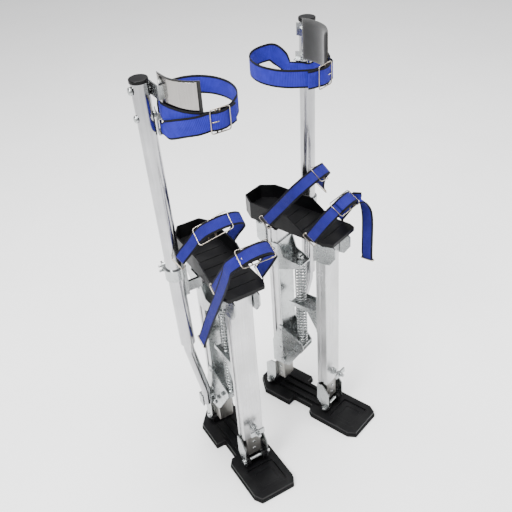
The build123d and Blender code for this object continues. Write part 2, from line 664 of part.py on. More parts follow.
INSTEP = dict(base_y=46.0, base_z=548.0, rise=128.0, run=104.0)
INSTEP_ARCH = dict(half=52.0, shoulder=92.0, crown=160.0, outer_start=86.0, inner_start=-4.0)
INSTEP_RUN = ((47.0, -16.0, 630.0), (60.0, -4.0, 588.0))
INSTEP_ACROSS = (0.0, -0.78, -0.63)
TOE = {
    "left": dict(base_y=-72.0, base_z=550.0, rise=78.0, run=50.0),
    "right": dict(base_y=-84.0, base_z=550.0, rise=122.0, run=88.0),
}
TOE_ARCH = {
    "left": dict(half=52.0, shoulder=44.0, crown=92.0, outer_start=-8.0, inner_start=-8.0),
    "right": dict(half=52.0, shoulder=90.0, crown=146.0, outer_start=-8.0, inner_start=-8.0),
}
TAIL_X = 51.85


def strip(points, width):
    """The outline of a band of even width that follows a bent line."""
    left, right = [], []
    for number, (u, v) in enumerate(points):
        u0, v0 = points[max(number - 1, 0)]
        u1, v1 = points[min(number + 1, len(points) - 1)]
        scale = width / 2 / sqrt((u1 - u0) ** 2 + (v1 - v0) ** 2)
        du, dv = -(v1 - v0) * scale, (u1 - u0) * scale
        left.append((u + du, v + dv))
        right.append((u - du, v - dv))
    return left + right[::-1]


def toe_tail(side):
    """The loose end: laid back across the outer side on the right stilt, hanging on the left one."""
    if side == "right":
        line = [(-134, 596), (-96, 532), (-50, 455), (12, 345)]
        return side_plate(strip(line, FOOT_WEBBING_W), TAIL_X, TAIL_X + STRAP_T)
    line = [(34, 613), (50, 604), (58, 590), (58, 455)]
    outline = Plane.XZ.offset(120) * Polygon(*strip(line, STRAP_T), align=None)
    return extrude(outline, 26, dir=(0, -1, 0))


def run_plane(shift):
    """Square to the instep strap's outer run, at its end or shift beyond it, and the run's length."""
    start, end = Vector(*INSTEP_RUN[0]), Vector(*INSTEP_RUN[1])
    axis = (end - start).normalized()
    across = Vector(*INSTEP_ACROSS)
    across = (across - axis * across.dot(axis)).normalized()
    return Plane(origin=end + axis * shift, x_dir=across, z_dir=axis), (end - start).length


def instep_strap():
    """The webbing over the instep; its outer side runs back toward the heel clamp."""
    arch = strap_arch(strap_plane(**INSTEP), width=FOOT_WEBBING_W, **INSTEP_ARCH)
    plane, length = run_plane(0.0)
    return arch + extrude(plane * Rectangle(FOOT_WEBBING_W, STRAP_T), -length)


def toe_strap(side):
    """The webbing over the toes, with its loose end hanging outboard."""
    arch = strap_arch(strap_plane(**TOE[side]), width=FOOT_WEBBING_W, **TOE_ARCH[side])
    return arch + toe_tail(side)


def foot_strap_hardware(side):
    """The two flat steel buckles on top of the straps and the wire rings at their ends."""
    pieces = []
    ring = RectangleRounded(34, 12, 3) - RectangleRounded(29, 7, 2)
    for place_args, arch, shift in ((INSTEP, INSTEP_ARCH, -16), (TOE[side], TOE_ARCH[side], 8)):
        plane = strap_plane(**place_args)
        top = plane.from_local_coords(Vector(shift, arch["crown"] + 1.2, 0))
        up = plane.from_local_coords(Vector(0, 1, 0)) - plane.origin
        flat = Plane(origin=top, x_dir=(1, 0, 0), z_dir=up)
        frame = RectangleRounded(24, 38, 4) - RectangleRounded(17, 31, 2)
        buckle = extrude(flat * (frame + Rectangle(3.5, 36)), 2.4)
        pieces.append(buckle)
        for side, start in ((1, arch["outer_start"]), (-1, arch["inner_start"])):
            if start > 0:
                continue
            centre = plane.from_local_coords(Vector(side * (arch["half"] - 1.5), start - 6.5, 0))
            ring_plane = Plane(origin=centre, x_dir=plane.z_dir, z_dir=(1, 0, 0))
            pieces.append(extrude(ring_plane * Pos(0, 0, -1.25) * ring, 2.5))
    end, _ = run_plane(6.5)
    ring_plane = Plane(origin=end.origin, x_dir=end.x_dir, z_dir=end.y_dir)
    pieces.append(extrude(ring_plane * Pos(0, 0, -1.25) * ring, 2.5))
    return group(pieces)


# ---------------------------------------------------------------- assembly

def stilt_nodes(side):
    """Every sub-part of one stilt, by name; only the toe strap and its buckle differ by side."""
    gap = ARM_T / 2 + 0.3 + FLANGE_T
    return {
        "sole_tread": sole_tread(),
        "floor_plate": floor_plate(),
        "rear_inner_strut": inner_strut(REAR_STRUT_Y),
        "rear_foot_bracket": rear_foot_bracket(),
        "front_inner_strut": inner_strut(FRONT_STRUT_Y),
        "front_foot_bracket": front_foot_bracket(),
        "rear_outer_strut": outer_strut(REAR_STRUT_Y),
        "rear_top_bracket": rear_top_bracket(),
        "spring_bracket": spring_bracket(),
        "lower_spring": coil(LOWER_ARM_Z + 2.8, MIDDLE_ARM_Z - gap - 0.3, 13),
        "upper_spring": coil(MIDDLE_ARM_Z + gap + 0.3, UPPER_ARM_Z - 2.8, 12),
        "spring_collar": spring_collar(),
        "lower_side_tube": lower_side_tube(),
        "tube_clamps": tube_clamps(),
        "front_outer_strut": outer_strut(FRONT_STRUT_Y) - height_bolt_hole(),
        "front_top_bracket": front_top_bracket(),
        "front_height_bolt": front_height_bolt(),
        "spring_arm": spring_arm(),
        "shoe_platform": shoe_platform(),
        "instep_strap": instep_strap(),
        "toe_strap": toe_strap(side),
        "foot_strap_hardware": foot_strap_hardware(side),
        "upper_side_tube": upper_side_tube(),
        "tube_cap": tube_cap(),
        "strap_loop": strap_loop(),
        "calf_bracket": calf_bracket(),
        "calf_plate": calf_plate(),
        "calf_pad": calf_pad(),
        "calf_strap": calf_strap(),
        "calf_buckle": calf_buckle(),
    }


def place(shape, side):
    """Turn the toes out and move the stilt to its side of the pair."""
    turned = Pos(STANCE / 2, CENTRE_SHIFT, 0) * Rot(0, 0, TOE_OUT) * shape
    if side == "right":
        return mirror(turned, about=Plane.YZ)
    return turned


def main():
    os.makedirs("parts", exist_ok=True)
    for side in ("left", "right"):
        for name, shape in stilt_nodes(side).items():
            solids = place(shape, side).solids()
            node = solids[0] if len(solids) == 1 else Compound(children=list(solids))
            export_step(node, f"parts/{side}_{name}.step")


main()
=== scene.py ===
"""A pair of drywall stilts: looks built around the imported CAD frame."""
import json
from math import cos, pi, radians, sin, sqrt

import bmesh
import bpy
import numpy as np
from mathutils import Matrix, Vector

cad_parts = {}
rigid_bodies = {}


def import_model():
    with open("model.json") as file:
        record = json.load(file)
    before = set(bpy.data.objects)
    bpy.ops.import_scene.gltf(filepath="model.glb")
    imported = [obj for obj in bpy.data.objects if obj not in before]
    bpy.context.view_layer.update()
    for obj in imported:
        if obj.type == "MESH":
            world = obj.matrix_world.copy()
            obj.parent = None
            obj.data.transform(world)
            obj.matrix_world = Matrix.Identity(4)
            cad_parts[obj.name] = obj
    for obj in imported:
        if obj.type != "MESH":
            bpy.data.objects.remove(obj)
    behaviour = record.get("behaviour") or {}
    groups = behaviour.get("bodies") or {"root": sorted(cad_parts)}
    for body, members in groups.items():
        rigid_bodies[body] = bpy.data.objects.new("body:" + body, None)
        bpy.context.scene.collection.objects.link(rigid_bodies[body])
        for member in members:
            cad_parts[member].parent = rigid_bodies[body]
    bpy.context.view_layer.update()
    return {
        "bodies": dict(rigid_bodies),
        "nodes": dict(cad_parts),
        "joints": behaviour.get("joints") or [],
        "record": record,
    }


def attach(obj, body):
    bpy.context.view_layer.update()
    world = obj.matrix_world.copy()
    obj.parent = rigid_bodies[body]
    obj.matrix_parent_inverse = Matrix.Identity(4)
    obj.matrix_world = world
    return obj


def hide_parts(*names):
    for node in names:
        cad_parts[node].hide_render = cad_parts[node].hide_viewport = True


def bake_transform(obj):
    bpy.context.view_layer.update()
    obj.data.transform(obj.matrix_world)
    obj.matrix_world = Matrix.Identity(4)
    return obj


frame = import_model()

# ---- stance of the pair, as in the CAD (metres and degrees)
TOE_OUT = 10.0
STANCE = 0.224
CENTRE_SHIFT = 0.03051
SIDES = ("left", "right")


def to_world(side, x, y, z):
    """A point in metres in the shared frame, from millimetres in one stilt's own frame."""
    turn = radians(TOE_OUT)
    wx = (x * cos(turn) - y * sin(turn)) / 1000 + STANCE / 2
    wy = (x * sin(turn) + y * cos(turn)) / 1000 + CENTRE_SHIFT
    return Vector((-wx if side == "right" else wx, wy, z / 1000))


def to_world_direction(side, x, y, z):
    """A direction in the shared frame, from one stilt's own frame."""
    origin = to_world(side, 0, 0, 0)
    return (to_world(side, x, y, z) - origin).normalized()


# ---------------------------------------------------------------- camera

def make_camera():
    data = bpy.data.cameras.new("camera")
    camera = bpy.data.objects.new("camera", data)
    bpy.context.scene.collection.objects.link(camera)
    data.lens = 52.73
    data.sensor_width = 36.0
    camera.location = (-0.807, -0.9737, 1.430)
    pitch = radians(35.8)
    forward = Vector((0.6205 * cos(pitch), 0.7842 * cos(pitch), -sin(pitch)))
    aim = forward.to_track_quat("-Z", "Y")
    roll = Matrix.Rotation(radians(-4.4), 4, "Z")
    camera.rotation_euler = (aim.to_matrix().to_4x4() @ roll).to_euler()
    bpy.context.scene.camera = camera


# ---------------------------------------------------------------- materials

class Nodes:
    """Short calls for building one material's node tree."""

    def __init__(self, name):
        self.material = bpy.data.materials.new(name)
        self.material.use_nodes = True
        self.tree = self.material.node_tree
        self.shader = self.tree.nodes["Principled BSDF"]

    def add(self, kind, **settings):
        node = self.tree.nodes.new(kind)
        for key, value in settings.items():
            if key in node.inputs:
                node.inputs[key].default_value = value
            else:
                setattr(node, key, value)
        return node

    def link(self, source, target):
        self.tree.links.new(source, target)

    def place(self, scale=(1, 1, 1)):
        """Object coordinates in metres, stretched by scale."""
        coordinates = self.add("ShaderNodeTexCoord")
        mapping = self.add("ShaderNodeMapping")
        mapping.inputs["Scale"].default_value = scale
        self.link(coordinates.outputs["Object"], mapping.inputs["Vector"])
        return mapping.outputs["Vector"]

    def noise(self, vector, scale, detail=3.0, roughness=0.55):
        node = self.add("ShaderNodeTexNoise")
        node.inputs["Scale"].default_value = scale
        node.inputs["Detail"].default_value = detail
        node.inputs["Roughness"].default_value = roughness
        self.link(vector, node.inputs["Vector"])
        return node.outputs["Fac"]

    def ramp(self, fac, stops):
        node = self.add("ShaderNodeValToRGB")
        ramp = node.color_ramp
        while len(ramp.elements) < len(stops):
            ramp.elements.new(0.5)
        for element, (position, colour) in zip(ramp.elements, stops):
            element.position = position
            value = colour if isinstance(colour, tuple) else (colour, colour, colour)
            element.color = (*value, 1.0)
        self.link(fac, node.inputs["Fac"])
        return node.outputs["Color"]

    def math(self, operation, a, b=None, clamp=False):
        node = self.add("ShaderNodeMath", operation=operation, use_clamp=clamp)
        for socket, value in zip(node.inputs, (a, b)):
            if value is None:
                continue
            if isinstance(value, (int, float)):
                socket.default_value = value
            else:
                self.link(value, socket)
        return node.outputs["Value"]

    def mix(self, fac, a, b):
        node = self.add("ShaderNodeMix", data_type="RGBA")
        for socket, value in ((node.inputs[0], fac), (node.inputs[6], a), (node.inputs[7], b)):
            if isinstance(value, (int, float)):
                socket.default_value = value
            elif isinstance(value, tuple):
                socket.default_value = (*value, 1.0)
            else:
                self.link(value, socket)
        return node.outputs[2]

    def bump(self, height, strength, distance, rounding=0.0):
        node = self.add("ShaderNodeBump")
        node.inputs["Strength"].default_value = strength
        node.inputs["Distance"].default_value = distance
        self.link(height, node.inputs["Height"])
        if rounding:
            bevel = self.add("ShaderNodeBevel", samples=4)
            bevel.inputs["Radius"].default_value = rounding
            self.link(bevel.outputs["Normal"], node.inputs["Normal"])
        self.link(node.outputs["Normal"], self.shader.inputs["Normal"])

    def set(self, **values):
        for key, value in values.items():
            socket = self.shader.inputs[key.replace("_", " ")]
            if isinstance(value, tuple) and len(value) == 3:
                value = (*value, 1.0)
            if isinstance(value, (int, float, tuple)):
                socket.default_value = value
            else:
                self.link(value, socket)


def brushed_metal(name, dark, light, roughness, grain, streak, rounding):
    """Metal with fine streaks along z, cloudy tone and softened edges."""
    n = Nodes(name)
    streaks = n.noise(n.place((1, 1, streak)), grain, 5.0, 0.65)
    cloud = n.noise(n.place(), 14.0, 4.0)
    tone = n.math("ADD", n.math("MULTIPLY", streaks, 0.45), n.math("MULTIPLY", cloud, 0.55))
    n.set(
        Base_Color=n.ramp(tone, [(0.30, dark), (0.70, light)]),
        Metallic=1.0,
        Roughness=n.ramp(tone, [(0.25, roughness * 1.35), (0.75, roughness * 0.8)]),
    )
    n.bump(streaks, 0.12, 0.0004, rounding)
    return n.material


def plated_metal(name, dark, light, roughness, rounding):
    """Zinc or nickel plate: mottled, with small scuffs."""
    n = Nodes(name)
    space = n.place()
    spangle = n.noise(space, 160.0, 3.0)
    cloud = n.noise(space, 26.0, 4.0)
    scuff = n.noise(n.place((1.0, 6.0, 0.6)), 220.0, 6.0, 0.7)
    tone = n.math("ADD", n.math("MULTIPLY", spangle, 0.4), n.math("MULTIPLY", cloud, 0.6))
    wear = n.ramp(scuff, [(0.60, 0.0), (0.72, 1.0)])
    colour = n.mix(n.math("MULTIPLY", wear, 0.25), n.ramp(tone, [(0.30, dark), (0.70, light)]), light)
    n.set(
        Base_Color=colour,
        Metallic=1.0,
        Roughness=n.ramp(tone, [(0.25, roughness * 1.4), (0.75, roughness * 0.75)]),
    )
    n.bump(spangle, 0.18, 0.0003, rounding)
    return n.material


def moulded_plastic(name, base, edge, roughness, grain, rounding):
    """Moulded black plastic with a fine grain and paler dust in patches."""
    n = Nodes(name)
    space = n.place()
    grit = n.noise(space, grain, 4.0, 0.6)
    dust = n.noise(space, 22.0, 6.0, 0.65)
    n.set(
        Base_Color=n.mix(n.ramp(dust, [(0.45, 0.0), (0.75, 0.6)]), base, edge),
        Roughness=n.ramp(dust, [(0.3, roughness), (0.8, roughness * 1.5)]),
        Specular_IOR_Level=0.13,
    )
    n.bump(grit, 0.25, 0.0003, rounding)
    return n.material


def webbing_material(name, blue, painted_shade_blue, black, half_width):
    """Woven webbing: cross ribs, a fine diagonal twill and black selvedges, with painted shade: a shaded
    blue mixed in along the weave's troughs and in cloudy patches.
    """
    n = Nodes(name)
    uv = n.add("ShaderNodeUVMap", uv_map="weave")
    split = n.add("ShaderNodeSeparateXYZ")
    n.link(uv.outputs["UV"], split.inputs["Vector"])
    along, across = split.outputs["X"], split.outputs["Y"]
    rib = n.math("SINE", n.math("MULTIPLY", along, 2 * pi / 0.0030))
    twill = n.math("SINE", n.math("MULTIPLY", n.math("ADD", along, across), 2 * pi / 0.0016))
    cross = n.math("SINE", n.math("MULTIPLY", n.math("SUBTRACT", along, across), 2 * pi / 0.0016))
    diamonds = n.math("MULTIPLY", twill, cross)
    weave = n.math("ADD", n.math("MULTIPLY", rib, 0.45), n.math("MULTIPLY", diamonds, 0.55))
    fuzz = n.noise(n.place(), 900.0, 2.0)
    mottle = n.noise(n.place(), 60.0, 4.0)
    height = n.math("ADD", weave, n.math("MULTIPLY", fuzz, 0.6))
    # Painted shade: the weave's troughs and the mottle's darker patches take the shaded blue, the rest
    # the lit blue.
    fac = n.math("ADD", n.math("MULTIPLY", weave, 0.55), n.math("MULTIPLY", mottle, 0.95), clamp=True)
    body = n.mix(fac, painted_shade_blue, blue)
    edge = n.math("GREATER_THAN", n.math("ABSOLUTE", across), half_width - 0.0042)
    n.set(
        Base_Color=n.mix(edge, body, black),
        Roughness=0.7,
        Sheen_Weight=0.03,
        Sheen_Roughness=0.5,
        Sheen_Tint=(0.25, 0.3, 0.9),
        Specular_IOR_Level=0.12,
    )
    n.bump(height, 0.55, 0.0005)
    return n.material


def foam_material(name):
    n = Nodes(name)
    space = n.place()
    pores = n.noise(space, 700.0, 4.0, 0.7)
    soft = n.noise(space, 40.0, 3.0)
    n.set(
        Base_Color=n.ramp(soft, [(0.3, 0.003), (0.8, 0.012)]),
        Roughness=0.92,
        Sheen_Weight=0.25,
    )
    n.bump(pores, 0.6, 0.0006)
    return n.material


def make_materials():
    aluminium = {
        "strut_aluminium": brushed_metal(
            "strut_aluminium", (0.40, 0.40, 0.40), (0.60, 0.60, 0.61), 0.27, 420.0, 0.02, 0.0006),
        "inner_aluminium": brushed_metal(
            "inner_aluminium", (0.27, 0.26, 0.24), (0.44, 0.43, 0.41), 0.32, 380.0, 0.02, 0.0005),
        "polished_aluminium": brushed_metal(
            "polished_aluminium", (0.36, 0.34, 0.32), (0.54, 0.52, 0.50), 0.14, 300.0, 0.05, 0.0005),
    }
    return {
        **aluminium,
        "tube_aluminium": brushed_metal(
            "tube_aluminium", (0.32, 0.32, 0.33), (0.54, 0.54, 0.55), 0.17, 520.0, 0.012, 0.0003),
        "zinc_steel": plated_metal("zinc_steel", (0.32, 0.33, 0.33), (0.48, 0.50, 0.50), 0.24, 0.0004),
        "spring_steel": plated_metal("spring_steel", (0.28, 0.30, 0.30), (0.60, 0.62, 0.62), 0.22, 0.0),
        "dark_steel": plated_metal(
            "dark_steel", (0.030, 0.022, 0.016), (0.16, 0.13, 0.10), 0.24, 0.0003),
        "buckle_steel": plated_metal(
            "buckle_steel", (0.20, 0.17, 0.14), (0.46, 0.42, 0.37), 0.20, 0.0003),
        "black_plastic": moulded_plastic(
            "black_plastic", (0.0035, 0.0035, 0.004), (0.012, 0.012, 0.012), 0.28, 900.0, 0.0007),
        "sole_rubber": moulded_plastic(
            "sole_rubber", (0.004, 0.004, 0.004), (0.018, 0.018, 0.018), 0.55, 500.0, 0.0008),
        "black_foam": foam_material("black_foam"),
        # Each webbing gets a lit blue, a shaded blue painted into its weave and patches, and black
        # selvedges.
        "blue_webbing": webbing_material(
            "blue_webbing", (0.030, 0.028, 0.42), (0.010, 0.010, 0.16), (0.004, 0.004, 0.005), 0.018),
        "blue_webbing_narrow": webbing_material(
            "blue_webbing_narrow", (0.018, 0.017, 0.22), (0.006, 0.006, 0.085),
            (0.003, 0.003, 0.004), 0.014),
    }


def paint_nodes(materials):
    """Every CAD node gets its own finish."""
    slots = {row["node"]: row["material_slot"] for row in frame["record"]["subparts"]}
    for name, node in frame["nodes"].items():
        kind = slots.get(name, "zinc_steel")
        if name.endswith("side_tube"):
            kind = "tube_aluminium"
        node.data.materials.clear()
        node.data.materials.append(materials[kind])


# ---------------------------------------------------------------- swept pieces

def smooth_rows(rows, step):
    """Rows joined by a Catmull-Rom curve, about step apart; a row starts with a point in mm."""
    rows = np.array(rows, float)
    padded = np.vstack([2 * rows[0] - rows[1], rows, 2 * rows[-1] - rows[-2]])
    result = []
    for k in range(1, len(padded) - 2):
        a, b, c, d = padded[k - 1:k + 3]
        count = max(2, int(np.linalg.norm((c - b)[:3]) / step))
        for u in np.arange(count) / count:
            result.append(0.5 * (2 * b + (c - a) * u + (2 * a - 5 * b + 4 * c - d) * u * u
                                 + (3 * b - a - 3 * c + d) * u ** 3))
    result.append(padded[-2])
    return result


def strap_frames(side, rows, step=3.0):
    """Frames (point, along, across, outward) down a strap, from rows of a point and an across."""
    rows = smooth_rows(rows, step)
    points = [to_world(side, *row[:3]) for row in rows]
    flip = -1 if side == "right" else 1
    frames = []
    for k, row in enumerate(rows):
        along = (points[min(k + 1, len(rows) - 1)] - points[max(k - 1, 0)]).normalized()
        across = to_world_direction(side, *row[3:6])
        across = (across - along * across.dot(along)).normalized()
        frames.append((points[k], along, across, along.cross(across) * flip))
    return frames


def wire_frames(points, reference, closed):
    """Frames down a bent wire, all turned toward one reference direction."""
    count = len(points)
    frames = []
    for k in range(count):
        ahead = points[(k + 1) % count] if closed else points[min(k + 1, count - 1)]
        behind = points[k - 1] if closed else points[max(k - 1, 0)]
        along = (ahead - behind).normalized()
        across = (reference - along * reference.dot(along)).normalized()
        frames.append((points[k], along, across, along.cross(across)))
    return frames


def webbing_profile(width, thickness):
    """The section of a strap: flat faces with rounded selvedges, as (across, outward) pairs."""
    flat = width / 2 - thickness / 2
    row = [flat * (2 * k / 8 - 1) for k in range(9)]
    side = [(flat + thickness / 2 * cos(a), thickness / 2 * sin(a)) for a in (pi / 4, 0, -pi / 4)]
    top = [(u, thickness / 2) for u in row]
    return top + side + [(-u, -v) for u, v in top] + [(-u, -v) for u, v in side]


def round_profile(radius, count=10):
    return [(radius * cos(2 * pi * k / count), radius * sin(2 * pi * k / count)) for k in range(count)]


def sweep(name, frames, profile, material, closed=False):
    """A mesh of one profile carried along frames, with its length and width as the map "weave"."""
    size, rings = len(profile), len(frames)
    vertices = [p + across * u + out * v for p, along, across, out in frames for u, v in profile]
    faces = []
    for k in range(rings if closed else rings - 1):
        after = (k + 1) % rings
        for m in range(size):
            n = (m + 1) % size
            faces.append((k * size + m, k * size + n, after * size + n, after * size + m))
    if not closed:
        faces.append(tuple(range(size)))
        faces.append(tuple((rings - 1) * size + m for m in range(size)))
    run = [0.0]
    for k in range(1, rings):
        run.append(run[-1] + (frames[k][0] - frames[k - 1][0]).length)
    mesh = bpy.data.meshes.new(name)
    mesh.from_pydata(vertices, [], faces)
    weave = mesh.uv_layers.new(name="weave")
    for polygon in mesh.polygons:
        polygon.use_smooth = len(polygon.vertices) == 4
        for loop in polygon.loop_indices:
            vertex = mesh.loops[loop].vertex_index
            weave.data[loop].uv = (run[vertex // size], profile[vertex % size][0])
    work = bmesh.new()
    work.from_mesh(mesh)
    bmesh.ops.recalc_face_normals(work, faces=work.faces)
    work.to_mesh(mesh)
    work.free()
    mesh.materials.append(material)
    piece = bpy.data.objects.new(name, mesh)
    bpy.context.scene.collection.objects.link(piece)
    return piece


def join(name, pieces):
    """Several meshes made into one piece."""
    with bpy.context.temp_override(
        active_object=pieces[0], object=pieces[0],
        selected_objects=pieces, selected_editable_objects=pieces,
    ):
        bpy.ops.object.join()
    pieces[0].name = name
    return pieces[0]


def rounded_loop(frame, half_along, half_across, corner, lift):
    """Points of a rounded rectangle lying on a strap at one frame."""
    point, along, across, out = frame
    points = []
    for quarter, (sx, sy) in enumerate(((1, 1), (-1, 1), (-1, -1), (1, -1))):
        for k in range(5):
            angle = (quarter + k / 4) * pi / 2
            u = sx * (half_along - corner) + corner * cos(angle)
            v = sy * (half_across - corner) + corner * sin(angle)
            points.append(point + along * u + across * v + out * lift)
    return points


def frame_buckle(name, before, after, half_across, wire, material, dark):
    """A straight wire frame between two places on a strap, which arches over its roller and prong."""
    first, last = before[0] + before[3] * 0.0026, after[0] + after[3] * 0.0026
    along = (last - first).normalized()
    across = (before[2] + after[2]).normalized()
    across = (across - along * across.dot(along)).normalized()
    out = (before[3] + after[3]).normalized()
    out = (out - along * out.dot(along)).normalized()
    middle = (first + last) / 2
    half_along = (last - first).length / 2
    loop = rounded_loop((middle, along, across, out), half_along, half_across, 0.0045, 0.0)
    frame_wire = sweep(name, wire_frames(loop, out, True), round_profile(wire), material, True)
    bar = [middle + across * (half_across * u) for u in (-1, -0.5, 0, 0.5, 1)]
    pieces = [frame_wire, sweep(name, wire_frames(bar, out, False), round_profile(wire * 0.9), material)]
    roller = [middle + across * (half_across * u) for u in (-0.86, -0.4, 0, 0.4, 0.86)]
    pieces.append(sweep(name, wire_frames(roller, out, False), round_profile(wire * 1.9, 14), dark))
    sleeve = [middle + along * (half_along * 0.42) + across * (half_across * u)
              for u in (-0.98, -0.5, 0, 0.5, 0.98)]
    pieces.append(sweep(name, wire_frames(sleeve, out, False), round_profile(wire * 1.3, 12), dark))
    prong = [middle + along * (half_along * u) + out * (0.0014 + 0.0016 * sin(pi * u))
             for u in (0, 0.3, 0.6, 0.9)]
    pieces.append(sweep(name, wire_frames(prong, out, False), round_profile(wire * 0.95), material))
    return join(name, pieces)


def slider(name, frame, half_across, depth, wire, material):
    """A thin wire loop that goes round the strap."""
    point, along, across, out = frame
    turned = (point, out, across, along)
    loop = rounded_loop(turned, depth, half_across, 0.0016, 0.0)
    return sweep(name, wire_frames(loop, along, True), round_profile(wire), material, True)


# ---------------------------------------------------------------- straps and buckles

# ---- width and thickness of the webbing, and how far a ring's centre is past a strap's end (metres)
FOOT_WEBBING = (0.028, 0.0026)
CALF_WEBBING = (0.036, 0.0024)
RING_REACH = 0.0045
# ---- the calf strap's oval: half width, half depth and centre (mm)
OVAL_A, OVAL_B, OVAL_Y = 68, 80, 8


class Arch:
    """A foot strap's leaning arch in one stilt's frame: its plane, its round top, and points on it."""

    def __init__(self, base_y, base_z, rise, run, shoulder, crown, side_x=48.9):
        length = sqrt(rise * rise + run * run)
        self.base = (base_y, base_z)
        self.slope = (-run / length, rise / length)
        self.across = (0.0, rise / length, run / length)
        height = crown - shoulder
        self.radius = (side_x ** 2 + height ** 2) / (2 * height)
        self.centre = crown - self.radius

    def at(self, x, s):
        return [x, self.base[0] + self.slope[0] * s, self.base[1] + self.slope[1] * s, *self.across]

    def round(self, angle, inset=1.5):
        radius = self.radius - inset
        return self.at(radius * cos(radians(angle)), self.centre + radius * sin(radians(angle)))


INSTEP = Arch(46, 548, 128, 104, 92, 160)
TOES = {"left": Arch(-72, 550, 78, 50, 44, 92), "right": Arch(-84, 550, 122, 88, 90, 146)}


def make_instep(side, materials):
    """The instep strap: an arch on the platform and a run that crosses to the heel clamp."""
    webbing, steel = materials["blue_webbing_narrow"], materials["buckle_steel"]
    rows = [INSTEP.at(-50.5, -4), INSTEP.at(-50, 30), INSTEP.at(-48.5, 72)]
    bulge = ((178, 1.5), (150, 1.5), (120, 1.5), (90, 1.0), (66, 0.0), (44, -3.0), (24, 0.0), (8, 1.5))
    rows += [INSTEP.round(angle, inset) for angle, inset in bulge]
    frames = strap_frames(side, rows)
    arch = sweep(f"{side}_instep_webbing", frames, webbing_profile(*FOOT_WEBBING), webbing)
    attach(arch, f"{side}_platform")
    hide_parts(f"{side}_instep_strap")
    start, end = (50, -27.5, 638.5), (81, -3, 584)
    lean = INSTEP.across
    rows = [[49.4, -30, 642, *lean], [51, -26, 637, *lean], [58, -19, 622, *lean], [68, -10, 604, *lean],
            [76, -5, 592, *lean], [*end, *lean]]
    run_frames = strap_frames(side, rows)
    run = sweep(f"{side}_instep_run", run_frames, webbing_profile(*FOOT_WEBBING), webbing)
    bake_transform(run)
    last = len(frames) - 1
    buckle = frame_buckle(f"{side}_instep_buckle", frames[int(last * 0.70)], frames[last - 1],
                          0.0178, 0.0010, steel, materials["dark_steel"])
    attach(buckle, f"{side}_platform")
    point, along, across, out = run_frames[-1]
    ring_frame = (point + along * RING_REACH, along, across, out)
    ring = slider_ring(f"{side}_heel_ring", ring_frame, steel)
    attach(ring, f"{side}_rear_strut")
    inner = frames[0]
    base_frame = (inner[0] - inner[1] * RING_REACH, *inner[1:])
    base_ring = slider_ring(f"{side}_instep_base_ring", base_frame, steel)
    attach(base_ring, f"{side}_platform")


def slider_ring(name, frame, material):
    """The rectangular ring at the end of a strap, in the strap's own plane."""
    loop = rounded_loop(frame, 0.0055, 0.0165, 0.0025, 0.0)
    return sweep(name, wire_frames(loop, frame[3], True), round_profile(0.0014), material, True)


def toe_tail_rows(side, arch):
    """The loose end of the toe strap: laid back down the outer side, or hanging from the buckle."""
    if side == "right":
        return [arch.round(122, -1.6), arch.round(110, -3.6), arch.round(90, -5.8), arch.round(70, -4.6),
                arch.round(50, -1.4), arch.round(34, -1.8), arch.round(15, -2.2),
                [52.6, -144, 622, 0, 0.83, 0.56],
                [54.2, -130, 592, 0, 0.86, 0.51], [54.2, -96, 532, 0, 0.87, 0.50],
                [53.8, -50, 455, 0, 0.87, 0.50], [53.4, -18, 398, 0, 0.87, 0.50],
                [53.2, 10, 348, 0, 0.87, 0.50]]
    return [arch.round(116, -1.6), arch.round(104, -3.6), arch.round(84, -5.4), arch.round(64, -4.2),
            arch.round(44, -1.4), arch.round(30, -1.8), [47, -127, 609, 0, 0.88, 0.48],
            [56.5, -133, 588, 0, 0.96, 0.28], [59, -137, 560, 0, 0.99, 0.12],
            [59, -138, 510, 0, 1, 0.05], [59.5, -138, 470, 0, 1, 0.10], [61, -139, 454, 0, 1, 0.16]]


def toe_buckle_ends(side, arch):
    """The strap frames at the two ends of the toe buckle."""
    high, low = (132, 50) if side == "right" else (126, 44)
    frames = strap_frames(side, [arch.round(high, 0.6), arch.round(high - 12, 0.6),
                                 arch.round(low + 12, -2.4), arch.round(low, -2.4)])
    return frames[0], frames[-1]


def make_toe(side, materials):
    """The toe strap with its slider, buckle, end rings and loose end."""
    webbing, steel = materials["blue_webbing_narrow"], materials["buckle_steel"]
    arch = TOES[side]
    low = arch.centre - 4
    rows = [arch.at(-50.5, -6), arch.at(-50, low * 0.5), arch.at(-48.3, low)]
    rows += [arch.round(angle, inset) for angle, inset in
             ((160, 1.5), (130, 1.5), (110, 3.5), (90, 4.6), (70, 3.5), (50, 1.5), (20, 1.5))]
    rows += [arch.at(48.3, low), arch.at(50, low * 0.5), arch.at(50.5, -6)]
    frames = strap_frames(side, rows)
    piece = sweep(f"{side}_toe_webbing", frames, webbing_profile(*FOOT_WEBBING), webbing)
    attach(piece, f"{side}_platform")
    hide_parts(f"{side}_toe_strap")
    tail_frames = strap_frames(side, toe_tail_rows(side, arch))
    tail = sweep(f"{side}_toe_tail", tail_frames, webbing_profile(*FOOT_WEBBING), webbing)
    point, along, across, out = tail_frames[-1]
    tip_frame = (point - along * 0.001, along, across, out)
    tip = slider(f"{side}_toe_tail_tip", tip_frame, 0.0150, 0.0022, 0.0016, steel)
    parts = [
        tail, tip,
        frame_buckle(f"{side}_toe_buckle", *toe_buckle_ends(side, arch), 0.0178, 0.0010, steel,
                     materials["dark_steel"]),
    ]
    for end, sign in ((frames[0], -1), (frames[-1], 1)):
        ring_frame = (end[0] + end[1] * (RING_REACH * sign), *end[1:])
        where = "inner" if sign < 0 else "outer"
        parts.append(slider_ring(f"{side}_toe_ring_{where}", ring_frame, steel))
    for part in parts:
        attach(part, f"{side}_platform")
    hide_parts(f"{side}_foot_strap_hardware")


def oval_row(angle, height, offset):
    """A strap row on the calf oval at an angle, a height, and a distance outside it."""
    a = radians(angle)
    return [(OVAL_A + offset) * cos(a), OVAL_Y + (OVAL_B + offset) * sin(a), height, 0, 0, 1]


